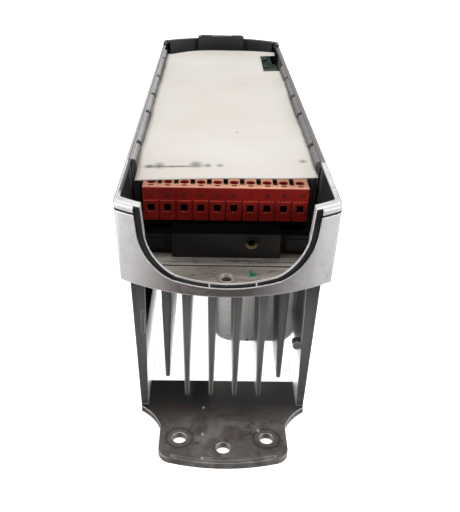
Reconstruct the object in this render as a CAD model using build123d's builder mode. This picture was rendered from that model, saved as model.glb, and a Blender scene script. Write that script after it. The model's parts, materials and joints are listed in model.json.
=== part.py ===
from build123d import *
import math
import os

# Servo drive with its cover off: a long cast tray on a finned heatsink, with a foot at each end.
# Millimetres. X is the width, Y the length (wiring bay at -Y), Z is up out of the mounting plane.
# The origin is the middle of the footprint, on the mounting plane.

# ---------------------------------------------------------------- driving dimensions
pole_pitch = 7.62                 # power terminal pitch
poles = 10

rim_half_width = 46.0             # tray, at the rim
tray_half_width = 44.25           # tray, at its underside
half_length = 157.5               # middle of the part to the tray's corners
end_bow = 14.7                    # how far both ends bow outwards
foot_z = 3.0                      # thickness of the feet
sink_top_z = 73.5                 # joint face between heatsink and tray
floor_z = 77.0                    # tray floor, top face
rim_z = 108.0

side_wall = 2.1
end_wall = 6.3                    # near wall, at its corner posts
cut_wall = 4.0                    # near wall, round the cable cut-out
far_wall = 2.4
corner_radius = 5.0

cut_half_width = 34.9             # cable cut-out, inner lip
cut_depth = 30.1
gasket_margin = 2.7               # the seat is this much larger than the lip at the sides
gasket_drop = 0.5                 # and this much at the bottom
lip_thickness = 1.6
gasket_thickness = 1.9

sink_half_length = half_length - 1.8
sink_top_half_width = 40.7
sink_foot_half_width = 38.2
sink_wall_inner = 35.0
base_thickness = 5.0
fin_root = 4.5
fin_tip = 2.1
long_fins = (-16.7, -5.5, 5.5, 16.7)
short_fins = (-25.6, 25.6)
long_tip_z = foot_z + 4.6
short_tip_z = foot_z + 15.6

hole_spacing = 38.8               # side holes of a foot, across
hole_radius = 3.2
side_hole_y = half_length + 20.3
middle_hole_y = half_length + 26.3
foot_half_width = 28.4
foot_end_y = half_length + 35.6
foot_inner_y = sink_half_length - 17.5

pocket_low = (-5.0, -130.0, 20.0)   # cast pocket for the choke
pocket_high = (sink_wall_inner + 0.5, -60.0, sink_top_z)
pocket_wall = 2.6
pocket_radius = 9.0

power_board_z = 84.0              # underside
board_thickness = 1.6
control_board_z = 97.0            # underside
sheet_z = 103.4
sheet_thickness = 0.5
sheet_half_width = 41.0
sheet_near_y = -118.9
window_x = (30.0, 41.2)           # window in the sheet, open to its right edge
window_y = (83.0, 127.5)

plug_front_y = -half_length + 38.0
plug_rear_y = plug_front_y + 13.5
plug_nose = 6.5
plug_low_z = 82.2
plug_top_z = 98.8
screw_y = plug_front_y + 6.4
header_rear_y = plug_rear_y + 8.5

post_x = 33.0                     # board posts
post_ys = (-48.0, 48.0, 138.0)

bow_radius = (rim_half_width**2 + end_bow**2) / (2 * end_bow)
bow_centre_y = half_length + end_bow - bow_radius
power_board_top = power_board_z + board_thickness
control_board_top = control_board_z + board_thickness
pole_xs = [(i - (poles - 1) / 2) * pole_pitch for i in range(poles)]

os.makedirs("parts", exist_ok=True)


def save(solid, name):
    """Label a finished piece and write it."""
    solid.label = name
    export_step(solid, f"parts/{name}.step")


def bowed_outline(half_width, near_inset, far_inset):
    """Closed outline with straight sides and bowed ends, inset from the tray's outer ends."""
    lines = {}
    for end, inset in ((-1, near_inset), (1, far_inset)):
        radius = bow_radius - inset
        corner = bow_centre_y + math.sqrt(radius**2 - half_width**2)
        lines[end] = (end * corner, end * (bow_centre_y + radius))
    with BuildLine() as outline:
        Line((-half_width, lines[-1][0]), (-half_width, lines[1][0]))
        ThreePointArc((-half_width, lines[1][0]), (0, lines[1][1]), (half_width, lines[1][0]))
        Line((half_width, lines[1][0]), (half_width, lines[-1][0]))
        ThreePointArc((half_width, lines[-1][0]), (0, lines[-1][1]), (-half_width, lines[-1][0]))
    return outline.line


def drafted_prism(low_half_width, high_half_width, low, high):
    """Long prism with drafted sides, from z low to z high, that trims a bowed body."""
    with BuildPart() as prism:
        with BuildSketch(Plane.XZ):
            with BuildLine():
                Polyline((-low_half_width, low), (low_half_width, low), (high_half_width, high),
                         (-high_half_width, high), close=True)
            make_face()
        extrude(amount=half_length + 2 * end_bow, both=True)
    return prism.part


def cut_outline(margin):
    """U of the cable cut-out, in X and Z: steep sides, round corners and a nearly flat bottom."""
    above = 2.0
    w = cut_half_width + margin
    d = cut_depth + gasket_drop / gasket_margin * margin
    shoulder = (0.965 * w, rim_z - 0.37 * d)
    corner = (0.865 * w, rim_z - 0.68 * d)
    heel = (0.59 * w, rim_z - 0.935 * d)
    with BuildLine() as outline:
        Polyline(shoulder, (w, rim_z + above), (-w, rim_z + above), (-shoulder[0], shoulder[1]))
        ThreePointArc(shoulder, corner, heel)
        ThreePointArc(heel, (0, rim_z - d), (-heel[0], heel[1]))
        ThreePointArc((-heel[0], heel[1]), (-corner[0], corner[1]), (-shoulder[0], shoulder[1]))
    return outline.line


def cut_prism(margin):
    """The cable cut-out as a prism through the near wall."""
    with BuildPart() as prism:
        with BuildSketch(Plane.XZ.offset(half_length - 12)):
            add(cut_outline(margin))
            make_face()
        extrude(amount=40)
    return prism.part


def near_band(front, back):
    """Curved slab of the near wall between two depths behind its outer face."""
    with BuildPart() as band:
        with BuildSketch(Plane.XY.offset(floor_z - 4)):
            with Locations((0, -bow_centre_y)):
                Circle(bow_radius - front)
                Circle(bow_radius - back, mode=Mode.SUBTRACT)
            with Locations((0, -half_length - end_bow)):
                Rectangle(2 * rim_half_width + 4, 4 * end_bow, mode=Mode.INTERSECT)
        extrude(amount=rim_z - floor_z + 8)
    return band.part


# ---------------------------------------------------------------- tray casting
pad_thickness = 2.5               # the side walls are this much thicker behind the bay
pad_gap = 5.0
pad_gaps = (48.0, 74.2, 125.9, 162.7, 207.0, 260.4, 290.1)   # from the near corners
set_screw_xy = (0, -half_length - 6.0)
boss_height = 0.6
floor_screw_xy = [(-36.0, -75.0), (-36.0, 0.0), (36.0, 0.0), (-36.0, 90.0), (36.0, 90.0), (0, 150.0)]

with BuildPart() as cavity:
    with BuildSketch(Plane.XY.offset(floor_z)):
        add(bowed_outline(rim_half_width - side_wall, end_wall, far_wall))
        make_face()
        fillet(vertices(), 3.0)
    extrude(amount=rim_z - floor_z + 2)
    add(drafted_prism(tray_half_width - side_wall + 0.15, rim_half_width - side_wall + 0.1,
                      floor_z - 1, rim_z + 2), mode=Mode.INTERSECT)

with BuildPart() as tray_casting:
    with BuildSketch(Plane.XY.offset(sink_top_z)):
        add(bowed_outline(rim_half_width, 0, 0))
        make_face()
        fillet(vertices(), corner_radius)
    extrude(amount=rim_z - sink_top_z)
    add(drafted_prism(tray_half_width, rim_half_width, sink_top_z, rim_z), mode=Mode.INTERSECT)
    add(cavity.part, mode=Mode.SUBTRACT)

    # thicker wall pads behind the bay, with upright slots between them
    pad_face = rim_half_width - side_wall - pad_thickness
    pad_spans = [(start - half_length + pad_gap / 2, end - half_length - pad_gap / 2)
                 for start, end in zip(pad_gaps[:-1], pad_gaps[1:])]
    for side in (-1, 1):
        for y0, y1 in pad_spans:
            if side > 0:
                # on the right the pads end before the sheet's window
                y1 = min(y1, window_y[0] - 1)
            if y1 <= y0:
                continue
            with BuildPart(mode=Mode.PRIVATE) as pad:
                with BuildSketch(Plane.XZ.offset(-y0)):
                    with BuildLine():
                        Polyline((side * (pad_face - 1.4), floor_z - 1), (side * pad_face, rim_z - 2.2),
                                 (side * (pad_face + 0.7), rim_z - 0.9), (side * (pad_face + 2.2), rim_z - 0.3),
                                 (side * (pad_face + 2.2), floor_z - 1), close=True)
                    make_face()
                extrude(amount=-(y1 - y0))
            add(pad.part)

    # cable cut-out: thinner wall, inner lip, and a larger seat in front of it for the gasket
    with BuildPart(mode=Mode.PRIVATE) as thinning:
        add(near_band(cut_wall, end_wall + 1))
        with BuildSketch(Plane.XY.offset(floor_z)):
            with Locations((0, -half_length)):
                Rectangle(2 * cut_half_width - 3, 4 * end_bow)
        extrude(amount=rim_z - floor_z + 2, mode=Mode.INTERSECT)
    add(thinning.part, mode=Mode.SUBTRACT)
    add(cut_prism(0), mode=Mode.SUBTRACT)
    with BuildPart(mode=Mode.PRIVATE) as seat:
        add(near_band(-4, cut_wall - lip_thickness))
        add(cut_prism(gasket_margin), mode=Mode.INTERSECT)
    add(seat.part, mode=Mode.SUBTRACT)

    # groove under the rim at the near corners
    with BuildPart(mode=Mode.PRIVATE) as groove:
        add(near_band(-1, 0.6))
        split(bisect_by=Plane.XY.offset(rim_z - 2.9), keep=Keep.TOP)
        split(bisect_by=Plane.XY.offset(rim_z - 2.2), keep=Keep.BOTTOM)
    add(groove.part, mode=Mode.SUBTRACT)

    # shallow step in the bay floor
    with BuildSketch(Plane.XY.offset(floor_z)):
        with Locations((0, -half_length + 1.0)):
            RectangleRounded(62, 9, 4)
    extrude(amount=-0.8, mode=Mode.SUBTRACT)
    with BuildSketch(Plane.XY.offset(floor_z)):
        with Locations((0, -half_length + 9.5)):
            RectangleRounded(76, 4, 1.5)
    extrude(amount=-0.5, mode=Mode.SUBTRACT)

    # boss and countersunk hole of the set screw at the front
    with BuildSketch(Plane.XY.offset(floor_z - 1)):
        with Locations(set_screw_xy):
            Circle(3.9)
    extrude(amount=1 + boss_height)
    with BuildSketch(Plane.XY.offset(floor_z + boss_height)):
        with Locations(set_screw_xy):
            Circle(2.9)
    extrude(amount=-1.2, taper=40, mode=Mode.SUBTRACT)
    with BuildSketch(Plane.XY.offset(sink_top_z - 1)):
        with Locations(set_screw_xy):
            Circle(2.0)
    extrude(amount=8, mode=Mode.SUBTRACT)

    # opening over the pocket, and the screw holes
    with BuildSketch(Plane.XY.offset(sink_top_z - 1)):
        with Locations(((pocket_low[0] + sink_wall_inner) / 2, (pocket_low[1] + pocket_high[1]) / 2)):
            RectangleRounded(sink_wall_inner - pocket_low[0] - 2 * pocket_wall,
                             pocket_high[1] - pocket_low[1] - 2 * pocket_wall, 4)
    extrude(amount=8, mode=Mode.SUBTRACT)
    with BuildSketch(Plane.XY.offset(sink_top_z - 1)):
        with Locations(*floor_screw_xy):
            Circle(2.2)
    extrude(amount=8, mode=Mode.SUBTRACT)
save(tray_casting.part, "tray_casting")

# ---------------------------------------------------------------- gasket of the cable cut-out
with BuildPart() as cable_gasket:
    add(near_band(cut_wall - lip_thickness - gasket_thickness, cut_wall - lip_thickness))
    add(cut_prism(gasket_margin - 0.1), mode=Mode.INTERSECT)
    add(cut_prism(0.4), mode=Mode.SUBTRACT)
    split(bisect_by=Plane.XY.offset(rim_z - 0.3), keep=Keep.BOTTOM)
save(cable_gasket.part, "cable_gasket")

# ---------------------------------------------------------------- heatsink casting
def fin(x, tip_z):
    """One drafted fin with a round tip and rounded ends, hanging from the base."""
    root = fin_root / 2
    tip = fin_tip / 2
    top = sink_top_z - base_thickness + 1
    with BuildPart() as blade:
        with BuildSketch(Plane.XZ):
            with BuildLine():
                Line((x - root, top), (x + root, top))
                Line((x + root, top), (x + tip, tip_z + tip))
                ThreePointArc((x + tip, tip_z + tip), (x, tip_z), (x - tip, tip_z + tip))
                Line((x - tip, tip_z + tip), (x - root, top))
            make_face()
        extrude(amount=sink_half_length - 0.6, both=True)
        long_edges = blade.edges().filter_by(
            lambda e: e.length > 40 and abs(e.center().Y) > sink_half_length - 2)
        fillet(long_edges, 0.9)
    return blade.part


def foot(end):
    """Mounting foot at one end: neck, round front with a raised lip, and three holes."""
    inner = end * foot_inner_y
    shoulder = end * (sink_half_length + 1.5)
    neck = end * (half_length + 12.4)
    corner = end * (foot_end_y - 4.6)
    with BuildPart() as plate:
        with BuildSketch(Plane.XY):
            with BuildLine():
                Line((-sink_wall_inner - 1, inner), (sink_wall_inner + 1, inner))
                Line((sink_wall_inner + 1, inner), (sink_foot_half_width, end * sink_half_length))
                Line((sink_foot_half_width, end * sink_half_length), (sink_foot_half_width, shoulder))
                ThreePointArc((sink_foot_half_width, shoulder),
                              (foot_half_width + 3.2, end * (half_length + 6.2)), (foot_half_width, neck))
                Line((foot_half_width, neck), (foot_half_width, corner))
                ThreePointArc((foot_half_width, corner), (0, end * foot_end_y), (-foot_half_width, corner))
                Line((-foot_half_width, corner), (-foot_half_width, neck))
                ThreePointArc((-foot_half_width, neck),
                              (-foot_half_width - 3.2, end * (half_length + 6.2)),
                              (-sink_foot_half_width, shoulder))
                Line((-sink_foot_half_width, shoulder), (-sink_foot_half_width, end * sink_half_length))
                Line((-sink_foot_half_width, end * sink_half_length), (-sink_wall_inner - 1, inner))
            make_face()
        extrude(amount=foot_z)
        front_corners = plate.edges().filter_by(Axis.Z).filter_by(
            lambda e: abs(e.center().Y - corner) < 0.5)
        fillet(front_corners, 6.5)
        # raised lip along the round front
        with BuildSketch(Plane.XY.offset(foot_z)):
            with BuildLine():
                lip_low = end * (foot_end_y - 4.4)
                ThreePointArc((-23, lip_low), (0, end * (foot_end_y - 0.5)), (23, lip_low))
                ThreePointArc((23, lip_low), (0, end * (foot_end_y - 2.6)), (-23, lip_low))
            make_face()
        extrude(amount=1.1)
        with BuildSketch(Plane.XY):
            with Locations((-hole_spacing / 2, end * side_hole_y), (hole_spacing / 2, end * side_hole_y),
                           (0, end * middle_hole_y)):
                Circle(hole_radius)
        extrude(amount=foot_z + 2, mode=Mode.SUBTRACT)
    return plate.part


def pocket_block(inset, right):
    """Body of the cast pocket, or its cavity when inset, with large radii along its bottom."""
    low_x, low_z = pocket_low[0] + inset, pocket_low[2] + inset
    high_z = pocket_high[2] + 20
    with BuildPart() as block:
        with BuildSketch(Plane.XZ.offset(-(pocket_low[1] + inset))):
            with Locations(((low_x + right) / 2, (low_z + high_z) / 2)):
                RectangleRounded(right - low_x, high_z - low_z, pocket_radius - inset)
        extrude(amount=-(pocket_high[1] - pocket_low[1] - 2 * inset))
        if inset == 0:
            ends = block.faces().sort_by(Axis.Y)
            fillet(ends[0].edges() + ends[-1].edges(), 2.5)
            split(bisect_by=Plane.XY.offset(sink_top_z), keep=Keep.BOTTOM)
    return block.part


with BuildPart() as heatsink_casting:
    with BuildSketch(Plane.XY.offset(sink_top_z - base_thickness)):
        Rectangle(2 * sink_top_half_width - 0.4, 2 * sink_half_length)
    extrude(amount=base_thickness)
    for side in (-1, 1):
        with BuildSketch(Plane.XZ):
            with BuildLine():
                Polyline((side * sink_wall_inner, 0), (side * sink_foot_half_width, 0),
                         (side * sink_top_half_width, sink_top_z - 1), (side * sink_top_half_width, sink_top_z),
                         (side * (sink_wall_inner - 0.6), sink_top_z), close=True)
            make_face()
        extrude(amount=sink_half_length, both=True)
    for x in long_fins:
        add(fin(x, long_tip_z))
    for x in short_fins:
        add(fin(x, short_tip_z))
    add(foot(-1))
    add(foot(1))

    # cast pocket, open to the tray
    add(pocket_block(0, pocket_high[0]))
    add(pocket_block(pocket_wall, sink_wall_inner - pocket_wall), mode=Mode.SUBTRACT)

    # notch in the left wall, round boss inside the right wall, and the tapped holes for the tray's screws
    with BuildSketch(Plane.XZ.offset(sink_half_length)):
        with Locations((-sink_wall_inner - 1.0, 50.0)):
            Rectangle(1.0, 12.0)
    extrude(amount=-1.5, mode=Mode.SUBTRACT)
    with BuildSketch(Plane.XZ.offset(sink_half_length)):
        with Locations((sink_wall_inner - 2.1, 37.8)):
            Circle(2.1)
            with Locations((1.6, 0)):
                Rectangle(2.2, 3.4)
    extrude(amount=-4.0)
    with BuildSketch(Plane.XY.offset(sink_top_z + 1)):
        with Locations(*floor_screw_xy):
            Circle(2.0)
    extrude(amount=-base_thickness - 2, mode=Mode.SUBTRACT)
save(heatsink_casting.part, "heatsink_casting")

# ---------------------------------------------------------------- pan head screws
def pan_screw(x, y, seat_z, thread, length, direction=1):
    """Pan head screw with a cross recess; the shank runs down, or up when direction is -1."""
    head = 0.95 * thread
    with BuildPart() as screw:
        with BuildSketch(Plane.XY.offset(seat_z)):
            with Locations((x, y)):
                Circle(head)
        extrude(amount=direction * 0.7 * thread)
        head_face = screw.faces().sort_by(Axis.Z)[-1 if direction > 0 else 0]
        fillet(head_face.edges(), 0.35 * thread)
        with BuildSketch(Plane.XY.offset(seat_z)):
            with Locations((x, y)):
                Circle(thread / 2 - 0.05)
        extrude(amount=-direction * length)
        with BuildSketch(Plane.XY.offset(seat_z + direction * 0.7 * thread)):
            with Locations((x, y)):
                Rectangle(thread, 0.25 * thread)
                Rectangle(0.25 * thread, thread)
        extrude(amount=-direction * 0.4 * thread, mode=Mode.SUBTRACT)
    return screw.part


def group(pieces):
    """Separate solids that share one node."""
    return Compound(children=list(pieces))


save(group(pan_screw(x, y, floor_z, 4.0, 8.0) for x, y in floor_screw_xy), "tray_screws")

with BuildPart() as set_screw:
    with BuildSketch(Plane.XY.offset(sink_top_z + 0.4)):
        with Locations(set_screw_xy):
            Circle(1.95)
    extrude(amount=floor_z - 0.8 - sink_top_z - 0.4)
    with BuildSketch(Plane.XY.offset(floor_z - 0.8)):
        with Locations(set_screw_xy):
            Rectangle(4.5, 0.7)
    extrude(amount=-1.0, mode=Mode.SUBTRACT)
save(set_screw.part, "set_screw")

# ---------------------------------------------------------------- end liner and cover catch
liner_half_width = 41.0
liner_low_z = 84.0
liner_top_z = rim_z + 1.4
catch_half_width = 18.5


def far_band(outer, inner, low, high, half_width):
    """Curved slab along the far end between two depths behind the tray's outer face."""
    with BuildPart() as band:
        with BuildSketch(Plane.XY.offset(low)):
            with Locations((0, bow_centre_y)):
                Circle(bow_radius - outer)
                Circle(bow_radius - inner, mode=Mode.SUBTRACT)
            with Locations((0, half_length + end_bow)):
                Rectangle(2 * half_width, 4 * end_bow, mode=Mode.INTERSECT)
        extrude(amount=high - low)
    return band.part


with BuildPart() as end_liner:
    add(far_band(far_wall + 0.1, far_wall + 1.8, liner_low_z, liner_top_z, liner_half_width))
    # cap over the rim, round both far corners
    with BuildSketch(Plane.XY.offset(rim_z)):
        add(bowed_outline(rim_half_width - 0.2, 0, 0.2))
        make_face()
        fillet(vertices(), corner_radius)
        with Locations((0, -end_bow)):
            Rectangle(200, 2 * half_length + 4, mode=Mode.SUBTRACT)
        with BuildSketch(mode=Mode.SUBTRACT):
            add(bowed_outline(rim_half_width - side_wall - 0.4, 0, far_wall + 1.8))
            make_face()
            fillet(vertices(), 3.0)
    extrude(amount=liner_top_z - rim_z)
save(end_liner.part, "end_liner")

with BuildPart() as cover_catch:
    add(far_band(0.6, far_wall + 4.4, liner_top_z, liner_top_z + 2.0, catch_half_width))
    add(far_band(far_wall + 1.9, far_wall + 4.4, liner_top_z - 14, liner_top_z + 2.0, catch_half_width))
    for x in (-12.0, 13.0):
        with BuildSketch(Plane.XY.offset(liner_top_z + 2.0)):
            with Locations((x, half_length + 10.0)):
                RectangleRounded(9, 4.0, 1.2)
        extrude(amount=0.6)
save(cover_catch.part, "cover_catch")

# ---------------------------------------------------------------- wiring bay
bulkhead_y = -half_length + 12.0
bulkhead_top_z = 88.7
insert_x, insert_z = 11.0, 84.4

with BuildPart() as bay_bulkhead:
    with BuildSketch(Plane.XY.offset(floor_z)):
        with Locations((0, bulkhead_y + 5.0)):
            Rectangle(46.8, 10.0)
    extrude(amount=bulkhead_top_z - floor_z)
    with BuildSketch(Plane.XY.offset(floor_z)):
        with Locations((0, bulkhead_y + 7.0)):
            Rectangle(78.0, 5.0)
    extrude(amount=9.0)
    fillet(bay_bulkhead.faces().sort_by(Axis.Z)[-1].edges(), 0.8)
    for side in (-1, 1):
        with BuildSketch(Plane.XZ.offset(-bulkhead_y - 5.5)):
            with Locations((side * 31.5, floor_z + 4.6)):
                RectangleRounded(11, 5.5, 1.4)
        extrude(amount=1.6)
    with BuildSketch(Plane.XZ.offset(-bulkhead_y)):
        with Locations((insert_x, insert_z)):
            Circle(2.9)
    extrude(amount=-7.0, mode=Mode.SUBTRACT)
save(bay_bulkhead.part, "bay_bulkhead")

with BuildPart() as earth_insert:
    with BuildSketch(Plane.XZ.offset(-bulkhead_y + 0.3)):
        with Locations((insert_x, insert_z)):
            Circle(2.9)
            Circle(1.65, mode=Mode.SUBTRACT)
    extrude(amount=-7.3)
save(earth_insert.part, "earth_insert")

# ---------------------------------------------------------------- power terminal plug
plug_half_width = poles * pole_pitch / 2 - 0.1
clamp_width = 5.4
clamp_depth = 5.6
clamp_height = 7.0
clamp_travel = 2.4
clamp_low_z = plug_low_z + 2.6
screw_head_z = plug_top_z - 1.7
thread_r = 1.45
nose_low_z = power_board_top + 1.6
nose_high_z = nose_low_z + 8.0
pin_z = nose_low_z + 4.0

with BuildPart() as terminal_plug:
    with BuildSketch(Plane.XY.offset(plug_low_z)):
        with Locations((0, (plug_front_y + plug_rear_y) / 2)):
            Rectangle(2 * plug_half_width, plug_rear_y - plug_front_y)
    extrude(amount=plug_top_z - plug_low_z)
    fillet(terminal_plug.edges().filter_by(Axis.X), 0.6)
    with BuildSketch(Plane.XZ.offset(-plug_rear_y + 0.5)):
        with Locations((0, (nose_low_z + nose_high_z) / 2)):
            Rectangle(2 * plug_half_width - 3.0, nose_high_z - nose_low_z)
    extrude(amount=-plug_nose - 0.5)
    for x in pole_xs:
        # raised frame round the wire entry, the wire entry, and the notch between poles
        with BuildSketch(Plane.XZ.offset(-plug_front_y)):
            with Locations((x, plug_low_z + 5.3)):
                Rectangle(6.5, 9.6)
        extrude(amount=0.7)
        with BuildSketch(Plane.XZ.offset(-plug_front_y + 2)):
            with Locations((x, plug_low_z + 6.6)):
                Rectangle(3.3, 3.8)
        extrude(amount=-8, mode=Mode.SUBTRACT)
        # chamber of the clamp, and the screw's bore above it
        with BuildSketch(Plane.XY.offset(clamp_low_z - 0.1)):
            with Locations((x, screw_y)):
                Rectangle(clamp_width + 0.6, clamp_depth + 0.6)
        extrude(amount=clamp_height + clamp_travel + 0.6, mode=Mode.SUBTRACT)
        with BuildSketch(Plane.XY.offset(plug_low_z + 10)):
            with Locations((x, screw_y)):
                Circle(thread_r + 0.06)
        extrude(amount=10, mode=Mode.SUBTRACT)
        with BuildSketch(Plane.XY.offset(screw_head_z - 1.4)):
            with Locations((x, screw_y)):
                Circle(2.15)
        extrude(amount=6, mode=Mode.SUBTRACT)
        # test slot in front of the screw, and the socket for the header's pin
        with BuildSketch(Plane.XY.offset(plug_top_z - 1.5)):
            with Locations((x, plug_front_y + 2.6)):
                Rectangle(2.4, 1.3)
        extrude(amount=3, mode=Mode.SUBTRACT)
        with BuildSketch(Plane.XZ.offset(-plug_rear_y - plug_nose - 1)):
            with Locations((x, pin_z)):
                Rectangle(1.4, 1.4)
        extrude(amount=plug_nose + 2, mode=Mode.SUBTRACT)
    # gaps between the screw towers, open to the rear
    for left, right in zip(pole_xs[:-1], pole_xs[1:]):
        with BuildSketch(Plane.XY.offset(plug_top_z - 3.2)):
            with Locations(((left + right) / 2, plug_front_y + 4.0 + 6)):
                Rectangle(2.2, 12)
        extrude(amount=5, mode=Mode.SUBTRACT)
        with BuildSketch(Plane.XY.offset(plug_low_z - 1)):
            with Locations(((left + right) / 2, plug_front_y)):
                Rectangle(1.1, 1.6)
        extrude(amount=2.2, mode=Mode.SUBTRACT)
save(terminal_plug.part, "terminal_plug")


def terminal_screw(x):
    """Captive slotted clamp screw of one pole."""
    with BuildPart() as screw:
        with BuildSketch(Plane.XY.offset(screw_head_z - 1.3)):
            with Locations((x, screw_y)):
                Circle(2.0)
        extrude(amount=1.3)
        fillet(screw.faces().sort_by(Axis.Z)[-1].edges(), 0.3)
        with BuildSketch(Plane.XY.offset(screw_head_z - 1.3)):
            with Locations((x, screw_y)):
                Circle(thread_r)
        extrude(amount=-(screw_head_z - 1.3 - clamp_low_z - 4.0))
        with BuildSketch(Plane.XY.offset(screw_head_z)):
            with Locations((x, screw_y)):
                Rectangle(5, 0.6)
        extrude(amount=-0.7, mode=Mode.SUBTRACT)
    return screw.part


def terminal_clamp(x):
    """Rising cage of one pole: a box open to front and rear, with the screw through its top."""
    with BuildPart() as cage:
        with BuildSketch(Plane.XZ.offset(-screw_y)):
            with Locations((x, clamp_low_z + clamp_height / 2)):
                Rectangle(clamp_width, clamp_height)
            with Locations((x, clamp_low_z + clamp_height / 2 - 0.4)):
                Rectangle(clamp_width - 1.8, clamp_height - 2.6, mode=Mode.SUBTRACT)
        extrude(amount=clamp_depth / 2, both=True)
        with BuildSketch(Plane.XY.offset(clamp_low_z + 3)):
            with Locations((x, screw_y)):
                Circle(thread_r + 0.05)
        extrude(amount=clamp_height, mode=Mode.SUBTRACT)
    return cage.part


for number, x in enumerate(pole_xs, start=1):
    save(terminal_screw(x), f"terminal_screw_{number:02d}")
    save(terminal_clamp(x), f"terminal_clamp_{number:02d}")

# ---------------------------------------------------------------- header that the plug fits
with BuildPart() as terminal_header:
    with BuildSketch(Plane.XY.offset(power_board_top)):
        with Locations((0, (plug_rear_y + 0.3 + header_rear_y) / 2)):
            Rectangle(2 * plug_half_width + 3.0, header_rear_y - plug_rear_y - 0.3)
    extrude(amount=nose_high_z + 1.6 - power_board_top)
    with BuildSketch(Plane.XZ.offset(-plug_rear_y)):
        with Locations((0, (nose_low_z + nose_high_z) / 2)):
            Rectangle(2 * plug_half_width - 2.4, nose_high_z - nose_low_z + 0.6)
    extrude(amount=-plug_nose - 0.5, mode=Mode.SUBTRACT)
    with BuildSketch(Plane.XZ.offset(-header_rear_y - 1)):
        for x in pole_xs:
            with Locations((x, pin_z)):
                Rectangle(1.0, 1.0)
    extrude(amount=6, mode=Mode.SUBTRACT)
save(terminal_header.part, "terminal_header")


def header_pin(x):
    """Square pin through the header, bent down into the power board."""
    with BuildPart() as pin:
        with BuildSketch(Plane.XZ.offset(-header_rear_y - 2.0)):
            with Locations((x, pin_z)):
                Rectangle(1.0, 1.0)
        extrude(amount=header_rear_y + 2.0 - plug_rear_y - 1.5)
        with BuildSketch(Plane.XY.offset(pin_z + 0.5)):
            with Locations((x, header_rear_y + 1.5)):
                Rectangle(1.0, 1.0)
        extrude(amount=-(pin_z + 0.5 - power_board_z + 1.2))
    return pin.part


save(group(header_pin(x) for x in pole_xs), "header_pins")

# ---------------------------------------------------------------- power board and what is under it
board_half_width = 38.0
power_board_y = (plug_rear_y + 0.8, 146.0)
post_xy = [(side * post_x, y) for y in post_ys for side in (-1, 1)]
header_pin_holes = [(x, header_rear_y + 1.5) for x in pole_xs]
choke_x = (pocket_low[0] + sink_wall_inner) / 2
choke_y = (pocket_low[1] + pocket_high[1]) / 2
module_low_z = floor_z + 0.5
module_centre = (2.0, 10.0)
module_size = (52.0, 42.0)

with BuildPart() as power_board:
    with BuildSketch(Plane.XY.offset(power_board_z)):
        with Locations((0, sum(power_board_y) / 2)):
            RectangleRounded(2 * board_half_width, power_board_y[1] - power_board_y[0], 2)
        with Locations(*post_xy):
            Circle(1.7, mode=Mode.SUBTRACT)
        with Locations(*header_pin_holes):
            Circle(0.85, mode=Mode.SUBTRACT)
    extrude(amount=board_thickness)
save(power_board.part, "power_board")


def hex_post(x, y, low, high, stud):
    """Hexagonal board post with a blind bore at the top, and a stud below when one is asked for."""
    with BuildPart() as post:
        with BuildSketch(Plane.XY.offset(low)):
            with Locations((x, y)):
                RegularPolygon(3.0, 6)
        extrude(amount=high - low)
        with BuildSketch(Plane.XY.offset(high + 1)):
            with Locations((x, y)):
                Circle(1.55)
        extrude(amount=-6.5, mode=Mode.SUBTRACT)
        if stud > 0:
            with BuildSketch(Plane.XY.offset(low)):
                with Locations((x, y)):
                    Circle(1.45)
            extrude(amount=-stud)
    return post.part


save(group(hex_post(x, y, floor_z, power_board_z, 0) for x, y in post_xy), "lower_posts")
save(group(hex_post(x, y, power_board_top, control_board_z, 6.0) for x, y in post_xy), "upper_posts")


core_low_z = pocket_low[2] + pocket_wall + 0.4
core_high_z = core_low_z + 52.0
core_middle_z = (core_low_z + core_high_z) / 2

with BuildPart() as choke_core:
    with BuildSketch(Plane.YZ.offset(choke_x)):
        with Locations((choke_y, core_middle_z)):
            Rectangle(60, core_high_z - core_low_z)
        with Locations((choke_y - 15, core_middle_z), (choke_y + 15, core_middle_z)):
            Rectangle(10, 32, mode=Mode.SUBTRACT)
    extrude(amount=10, both=True)
save(choke_core.part, "choke_core")

with BuildPart() as choke_coil:
    with BuildSketch(Plane.XY.offset(core_middle_z)):
        with Locations((choke_x, choke_y)):
            RectangleRounded(33, 38.5, 5)
            Rectangle(20.6, 20.6, mode=Mode.SUBTRACT)
    extrude(amount=15.5, both=True)
save(choke_coil.part, "choke_coil")

with BuildPart() as pocket_pad:
    with BuildSketch(Plane.XY.offset(pocket_low[2] + pocket_wall)):
        with Locations((choke_x, choke_y)):
            RectangleRounded(20, 62, 3)
    extrude(amount=0.4)
save(pocket_pad.part, "pocket_pad")

with BuildPart() as thermal_pad:
    with BuildSketch(Plane.XY.offset(floor_z)):
        with Locations(module_centre):
            Rectangle(*module_size)
    extrude(amount=module_low_z - floor_z)
save(thermal_pad.part, "thermal_pad")

with BuildPart() as power_module:
    with BuildSketch(Plane.XY.offset(module_low_z)):
        with Locations(module_centre):
            Rectangle(*module_size)
    extrude(amount=power_board_z - module_low_z)
    chamfer(power_module.edges().filter_by(Axis.Z), 2.0)
save(power_module.part, "power_module")

# ---------------------------------------------------------------- parts on the power board
with BuildPart() as filter_choke:
    with BuildSketch(Plane.XY.offset(power_board_top)):
        with Locations((-20, -76)):
            Circle(14)
            Circle(6, mode=Mode.SUBTRACT)
    extrude(amount=10)
    fillet(filter_choke.edges().filter_by(GeomType.CIRCLE), 2.5)
save(filter_choke.part, "filter_choke")


def board_box(name, places, size, radius=0.6):
    """Moulded components that stand on the power board, as one node."""
    pieces = []
    for x, y in places:
        with BuildPart() as box:
            with BuildSketch(Plane.XY.offset(power_board_top)):
                with Locations((x, y)):
                    Rectangle(size[0], size[1])
            extrude(amount=size[2])
            fillet(box.faces().sort_by(Axis.Z)[-1].edges(), radius)
        pieces.append(box.part)
    save(group(pieces), name)


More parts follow.
